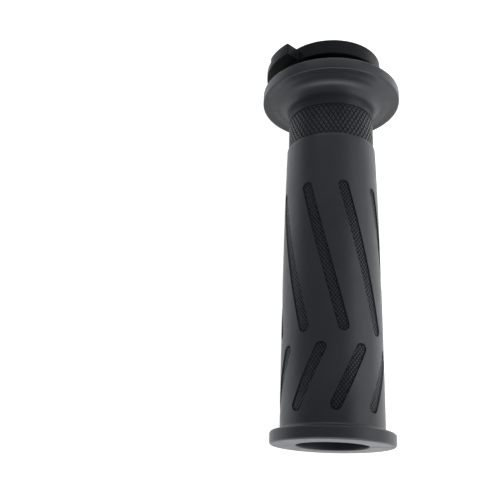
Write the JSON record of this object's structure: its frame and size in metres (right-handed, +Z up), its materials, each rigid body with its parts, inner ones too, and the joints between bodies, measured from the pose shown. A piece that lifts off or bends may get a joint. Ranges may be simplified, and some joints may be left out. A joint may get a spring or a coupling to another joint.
{
  "type": "throttle grip",
  "caption": "Right-hand throttle grip: a grooved rubber grip with a knurled band and a flange, bonded on a throttle tube with a cable drum.",
  "frame": {"origin": "on the handlebar's axis, at the outboard end face of the rubber grip", "axes": "+Y along the handlebar's axis, inboard towards the cable drum; +Z up; the cable boss is on the -X side"},
  "size_m": [0.053, 0.148, 0.053],
  "materials": {
    "tube_plastic": "black moulded plastic, semi-gloss with light scuffs",
    "grip_rubber": "charcoal moulded rubber, satin, with knurled grooves and band"
  },
  "bodies": {
    "root": {"throttle_tube": "tube_plastic", "rubber_grip": "grip_rubber"}
  },
  "joints": []
}
